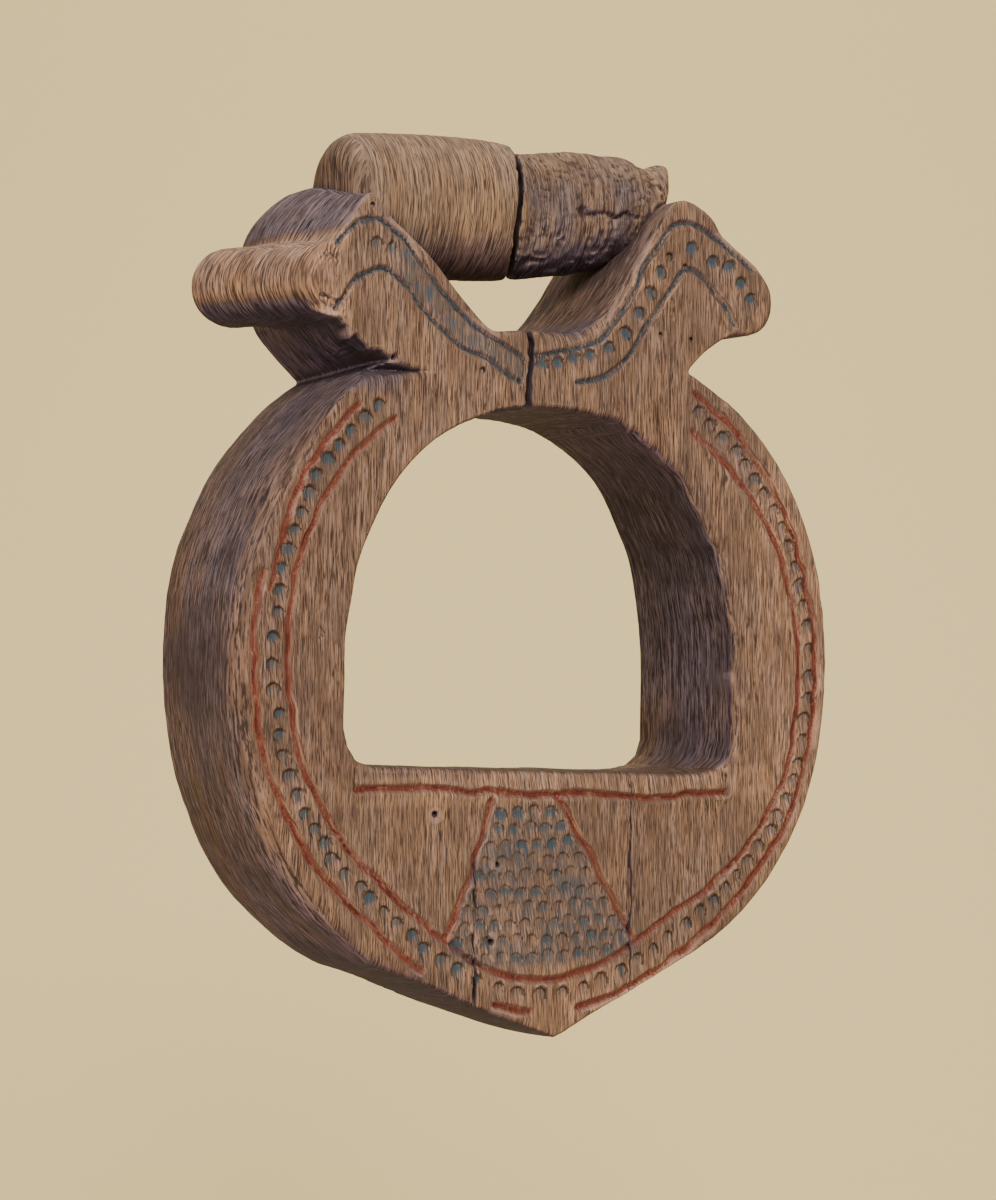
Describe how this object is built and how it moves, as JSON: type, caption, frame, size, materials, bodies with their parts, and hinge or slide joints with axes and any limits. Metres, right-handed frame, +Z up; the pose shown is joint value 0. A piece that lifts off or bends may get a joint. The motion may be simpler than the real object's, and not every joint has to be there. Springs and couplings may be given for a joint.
{
  "type": "carved wooden stirrup",
  "caption": "Carved and painted wooden stirrup: round ring with a flat tread, horned head and a hanger bar for the leather.",
  "frame": {"origin": "centre of the hanger bar that the stirrup leather goes round", "axes": "+Z up along the hanging stirrup, -Y out of its carved front face, +X to the right seen from the front, along the hanger bar"},
  "size_m": [0.183, 0.057, 0.251],
  "materials": {
    "carved_wood": "dry, weathered, carved grooves with worn red and blue paint",
    "bar_wood": "dry, rough, worn by the leather"
  },
  "bodies": {
    "root": {"left_cheek": "carved_wood", "right_cheek": "carved_wood", "tread_block": "carved_wood", "hanger_bar_left": "bar_wood", "hanger_bar_right": "bar_wood"}
  },
  "joints": []
}
